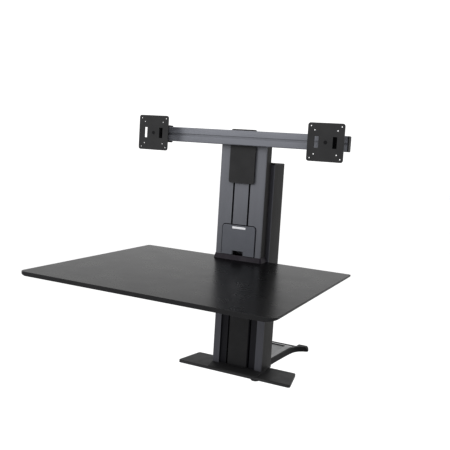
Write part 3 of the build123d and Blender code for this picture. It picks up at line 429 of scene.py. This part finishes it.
# --- clamp screw and knob ----------------------------------------------------
def clamp_screw():
    """The screw with its real helical thread."""
    low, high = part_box("clamp_screw")
    centre = (low + high) / 2
    radius = (high.x - low.x) / 2
    pitch = 1.5 * MM
    depth = 0.8 * MM
    steps_per_turn = 6
    count = int((high.z - low.z) / pitch * steps_per_turn)
    root = radius - depth

    def thread(height):
        def at(angle):
            phase = (height / pitch - angle / (2 * math.pi)) % 1.0
            return radius - depth * abs(2 * phase - 1)
        return at

    rings = [(low.z, root)]
    for i in range(1, count):
        height = low.z + (high.z - low.z) * i / count
        rings.append((height, thread(height)))
    rings.append((high.z, root))
    bm = bmesh.new()
    add_rings(bm, rings, 24, Matrix.Translation((centre.x, centre.y, 0)))
    return show("clamp_screw_thread", bm_mesh("clamp_screw_thread", bm), "clamp_screw")


def clamp_knob():
    """Hand knob: eight soft lobes, a domed end and a collar."""
    low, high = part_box("clamp_knob")
    centre = (low + high) / 2
    radius = (high.x - low.x) / 2
    tall = high.z - low.z
    lobes = 8
    valley_power = 1.6

    def lobed(scale, depth):
        def at(angle):
            valley = (0.5 + 0.5 * math.cos(lobes * angle)) ** valley_power
            return scale * radius * (1 - depth * valley)
        return at

    # Height and radius by the knob's own, and how deep the valleys between the lobes are.
    profile = [
        (0.00, 0.30, 0.00), (0.00, 0.62, 0.02), (0.03, 0.80, 0.06), (0.09, 0.92, 0.11),
        (0.20, 0.985, 0.15), (0.35, 1.00, 0.16), (0.62, 1.00, 0.16), (0.76, 0.97, 0.14),
        (0.86, 0.88, 0.09), (0.90, 0.66, 0.02), (0.91, 0.50, 0.00), (1.00, 0.46, 0.00),
        (1.00, 0.34, 0.00),
    ]
    rings = [(low.z + height * tall, lobed(scale, depth)) for height, scale, depth in profile]
    bm = bmesh.new()
    add_rings(bm, rings, 96, Matrix.Translation((centre.x, centre.y, 0)))
    return show("clamp_knob_lobes", bm_mesh("clamp_knob_lobes", bm), "clamp_knob")


# --- every node --------------------------------------------------------------
# Rounding of the sharp edges, in millimetres.
EDGE_WIDTH = {
    "foot_bar": 0.8, "foot_pad": 0.5, "base_casting": 0.8, "rear_arm": 1.2, "arm_inlay": 0.7,
    "clamp_bracket": 0.8, "clamp_top_pad": 0.6, "clamp_jaw": 0.5, "clamp_jaw_pad": 0.3,
    "mast": 0.7, "mast_center_panel": 0.5, "mast_cap": 0.5, "spring_barrel": 0.5,
    "mainspring": 0.4, "tension_rod": 0.3, "shaft_bushes": 0.3, "lower_shaft": 0.3,
    "lower_pulleys": 0.3, "pulley_stubs": 0.3, "drive_belts": 0.2, "wheel_axles": 0.3,
    "belt_clamps": 0.4, "lift_column": 0.7, "column_cap": 0.5, "column_foot": 1.0,
    "worksurface": 0.25, "worksurface_edge_band": 0.6, "support_tie": 0.5, "cable_cover": 0.5,
    "label_plate": 0.25, "riser_plate": 0.5, "riser_glides": 0.4, "crossbar": 0.5,
    "crossbar_end_caps": 0.5,
}
SIDE_EDGE_WIDTH = {
    "truck": 0.4, "support_rail": 0.6, "upper_pulley": 0.3, "upper_wheel": 0.4,
    "lower_wheel": 0.4, "carrier": 0.7, "pan_yoke": 0.5, "tilt_knuckle": 0.3, "display_plate": 0.4,
}
BOLT_NODES = ("base_bolts", "clamp_bolts", "column_bolts", "riser_bolts", "worksurface_screws")


def make_pieces():
    """A finished piece for every CAD node, by the node's name."""
    pieces = {node: softened(node, width) for node, width in EDGE_WIDTH.items()}
    for part, width in SIDE_EDGE_WIDTH.items():
        for side in ("left", "right"):
            node = f"{part}_{side}"
            pieces[node] = softened(node, width)
    for node in BOLT_NODES:
        pieces[node] = bolts(node)
    pieces["clamp_screw"] = clamp_screw()
    pieces["clamp_knob"] = clamp_knob()
    return pieces


def shade_mast(mast):
    """Painted shade: the front strips a darker copy of the graphite, the channels and chambers
    near-black, and the sides and back darker.
    """
    low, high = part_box("mast")
    corner = 4.2 * MM
    skin = 0.2 * MM
    strip = 27 * MM
    inner = high.x - strip
    outside = high.x - corner
    front = low.y + corner
    back = high.y - corner

    def in_channel(face):
        return abs(face.center.x) < inner and face.center.y > low.y + skin

    def on_outside(face):
        return face.center.y > back or (abs(face.center.x) > outside and face.center.y > front)

    paint(mast, "mast_front_painted_shade", lambda face: face.center.y < front)
    paint(mast, "recess_painted_shade", in_channel)
    paint(mast, "side_painted_shade", on_outside)


def shade_column(column):
    """Painted shade on the side faces, and painted shade in the groove round the cable cover and on
    the inner faces within 39 mm of the front.
    """
    low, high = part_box("lift_column")
    corner = 3.2 * MM
    outside = high.x - corner
    groove = (0.1 * MM, 1.6 * MM)
    inside = (corner, 39.0 * MM)

    def on_side(face):
        return abs(face.center.x) > outside and face.center.y > low.y + corner

    def in_groove(face):
        depth = face.center.y - low.y
        in_reach = groove[0] < depth < groove[1] or inside[0] < depth < inside[1]
        return abs(face.center.x) < outside and in_reach

    paint(column, "side_painted_shade", on_side)
    paint(column, "recess_painted_shade", in_groove)


def shade_liner(liner):
    """Painted shade on the walls round the liner's recess and slots."""
    wall_slope = 0.3
    paint(liner, "recess_painted_shade", lambda face: abs(face.normal.z) < wall_slope)


def shade_crossbar(crossbar):
    """Anodising with its grain along the bar."""
    paint(crossbar, "anodised_bar", lambda face: True)


# --- studio and camera -------------------------------------------------------
def floor():
    """Plain pale floor, a desk's height below the object: the desk itself isn't drawn."""
    radius = 30.0
    desk_height = 0.73
    bm = bmesh.new()
    bmesh.ops.create_circle(bm, cap_ends=True, segments=96, radius=radius)
    mesh = bpy.data.meshes.new("studio_floor")
    bm.to_mesh(mesh)
    bm.free()
    disc = bpy.data.objects.new("studio_floor", mesh)
    disc.location.z = -desk_height
    bpy.context.scene.collection.objects.link(disc)
    material = finish(
        "floor_pale", dark=(0.90, 0.90, 0.90), light=(0.92, 0.92, 0.92), rough=0.9, grain=2 * MM,
        relief=0.02 * MM, cloud=0.6, rough_swing=0.02, specular=0.2,
    )
    mesh.materials.append(material)


def area_light(name, position, target, size, power):
    """A soft square light aimed at a point."""
    data = bpy.data.lights.new(name, "AREA")
    data.shape = "SQUARE"
    data.size = size
    data.energy = power
    light = bpy.data.objects.new(name, data)
    light.location = position
    light.rotation_mode = "QUATERNION"
    light.rotation_quaternion = (Vector(target) - Vector(position)).to_track_quat("-Z", "Y")
    bpy.context.scene.collection.objects.link(light)


def studio():
    """An evenly white room, a large key light in front on the left and a weak one above."""
    world = bpy.data.worlds.new("studio_world")
    bpy.context.scene.world = world
    world.use_nodes = True
    background = world.node_tree.nodes["Background"]
    background.inputs["Color"].default_value = (1.0, 1.0, 1.0, 1.0)
    background.inputs["Strength"].default_value = 1.13
    middle = (0.0, -0.15, 0.45)
    area_light("key", (-1.5, -2.9, 1.7), middle, size=1.8, power=45)
    area_light("top", (-0.6, 0.6, 3.0), middle, size=2.0, power=10)
    settings = bpy.context.scene.view_settings
    settings.view_transform = "Standard"
    settings.gamma = 0.83


# The viewing angle: yaw, pitch and roll in degrees, lens in millimetres, shift for the framing.
VIEW_ANGLES = (23.68, 5.35, 3.83)
EYE = (0.90566, -1.89645, 0.80632)
LENS = 47.71
SHIFT = (-0.089, -0.040)


def camera():
    """Camera in front on the right, a little above the worksurface."""
    yaw, pitch, roll = (math.radians(angle) for angle in VIEW_ANGLES)
    back = Vector((math.sin(yaw) * math.cos(pitch), -math.cos(yaw) * math.cos(pitch), math.sin(pitch)))
    right = Vector((math.cos(yaw), math.sin(yaw), 0.0))
    up = back.cross(right)
    tilted_right = right * math.cos(roll) + up * math.sin(roll)
    tilted_up = up * math.cos(roll) - right * math.sin(roll)
    data = bpy.data.cameras.new("photo_camera")
    data.lens = LENS
    data.shift_x, data.shift_y = SHIFT
    data.clip_end = 100.0
    data.dof.use_dof = False
    eye = bpy.data.objects.new("photo_camera", data)
    basis = Matrix((tilted_right, tilted_up, back)).transposed().to_4x4()
    eye.matrix_world = Matrix.Translation(EYE) @ basis
    bpy.context.scene.collection.objects.link(eye)
    bpy.context.scene.camera = eye


PIECES = make_pieces()
shade_mast(PIECES["mast"])
shade_column(PIECES["lift_column"])
shade_crossbar(PIECES["crossbar"])
shade_liner(PIECES["arm_inlay"])
floor()
studio()
camera()
